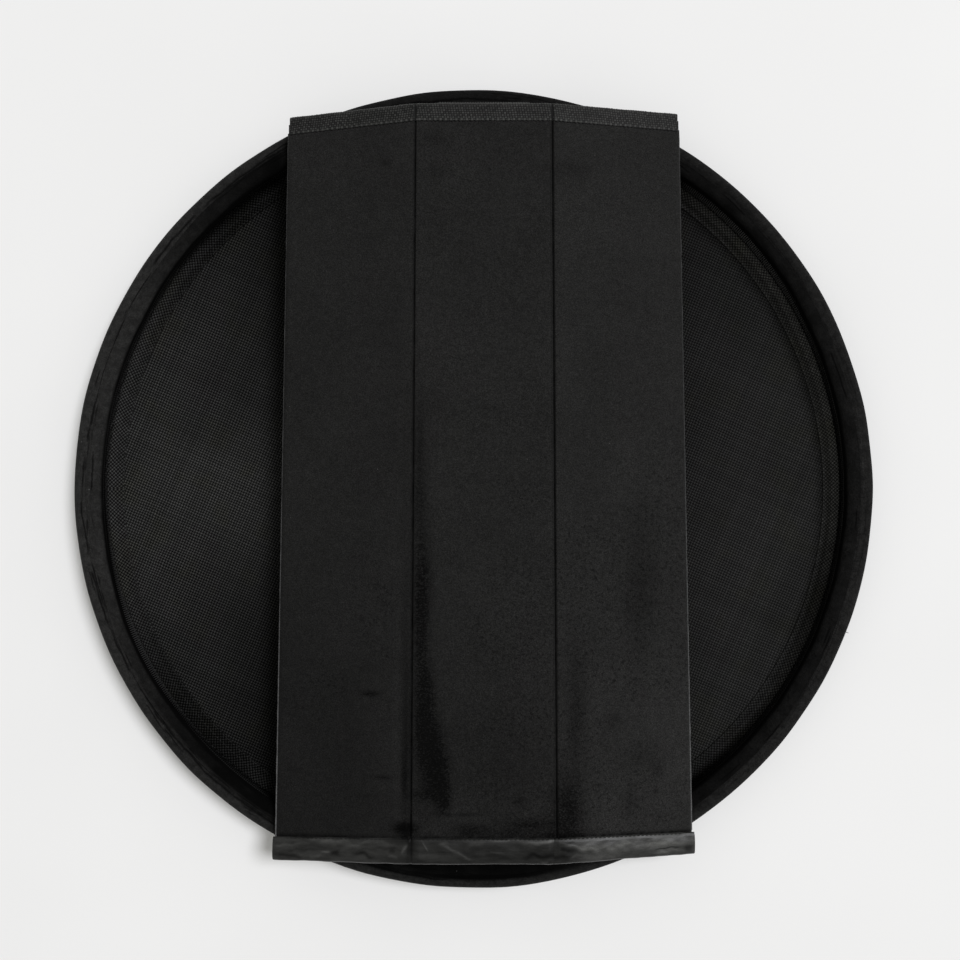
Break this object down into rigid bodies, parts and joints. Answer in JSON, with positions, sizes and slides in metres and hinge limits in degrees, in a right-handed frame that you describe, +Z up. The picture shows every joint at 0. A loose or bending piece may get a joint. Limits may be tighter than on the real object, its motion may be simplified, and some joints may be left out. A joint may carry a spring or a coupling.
{
  "type": "folding crab trap",
  "caption": "Round folding crab trap, stowed flat: padded cloth rim round a woven floor, a mouth ring that rises on a pleated wall, and a hinged, creased cover of stiff panels.",
  "frame": {"origin": "on the ground, under the centre of the base rim", "axes": "+Z up, +Y from the centre towards the end where the cover is hinged, +X to the right seen from above"},
  "size_m": [0.56, 0.56, 0.0515],
  "materials": {
    "nap_cloth": "matt black cloth with a short brushed nap",
    "mesh_cloth": "black plain-woven open cloth",
    "webbing": "black ribbed webbing tape",
    "coated_cloth": "black coated cloth with a slight sheen",
    "thread": "black sewing thread",
    "foam": "grey closed-cell foam strip",
    "board": "stiff plastic sheet",
    "steel": "spring steel wire"
  },
  "bodies": {
    "base": {"base_rim_sleeve": "nap_cloth", "base_rim_foam": "foam", "base_hoop": "steel", "base_hoop_ferrule": "steel", "floor_panel": "mesh_cloth", "floor_hem": "mesh_cloth", "floor_overlock": "thread", "side_wall": "mesh_cloth"},
    "mouth": {"mouth_rim_sleeve": "nap_cloth", "mouth_rim_foam": "foam", "mouth_hoop": "steel", "mouth_hoop_ferrule": "steel", "cover_hinge_tab": "webbing"},
    "cover": {"middle_panel_cover": "nap_cloth", "middle_panel_board": "board", "middle_end_tape": "webbing", "middle_rolled_hem": "coated_cloth", "left_fold_seam": "thread", "right_fold_seam": "thread", "cover_hinge_strap": "webbing"},
    "left_panel": {"left_panel_cover": "nap_cloth", "left_panel_board": "board", "left_end_tape": "webbing", "left_rolled_hem": "coated_cloth"},
    "right_panel": {"right_panel_cover": "nap_cloth", "right_panel_board": "board", "right_end_tape": "webbing", "right_rolled_hem": "coated_cloth"}
  },
  "joints": [
    {"name": "mouth_rise", "type": "slide", "parent": "base", "child": "mouth", "axis": [0, 0, 1], "range_m": [0, 0.055], "deforming": ["side_wall"]},
    {"name": "cover_lift", "type": "hinge", "parent": "mouth", "child": "cover", "pos_m": [0.0071, 0.2595, 0.04467], "axis": [-1, 0, 0], "range_deg": [0, 110]},
    {"name": "left_panel_fold", "type": "hinge", "parent": "cover", "child": "left_panel", "pos_m": [-0.0385, 0.258, 0.05084], "axis": [0.0064, 1, 0], "range_deg": [0, 127.5]},
    {"name": "right_panel_fold", "type": "hinge", "parent": "cover", "child": "right_panel", "pos_m": [0.0527, 0.258, 0.05084], "axis": [0.0064, -1, 0], "range_deg": [0, 127.5]}
  ]
}
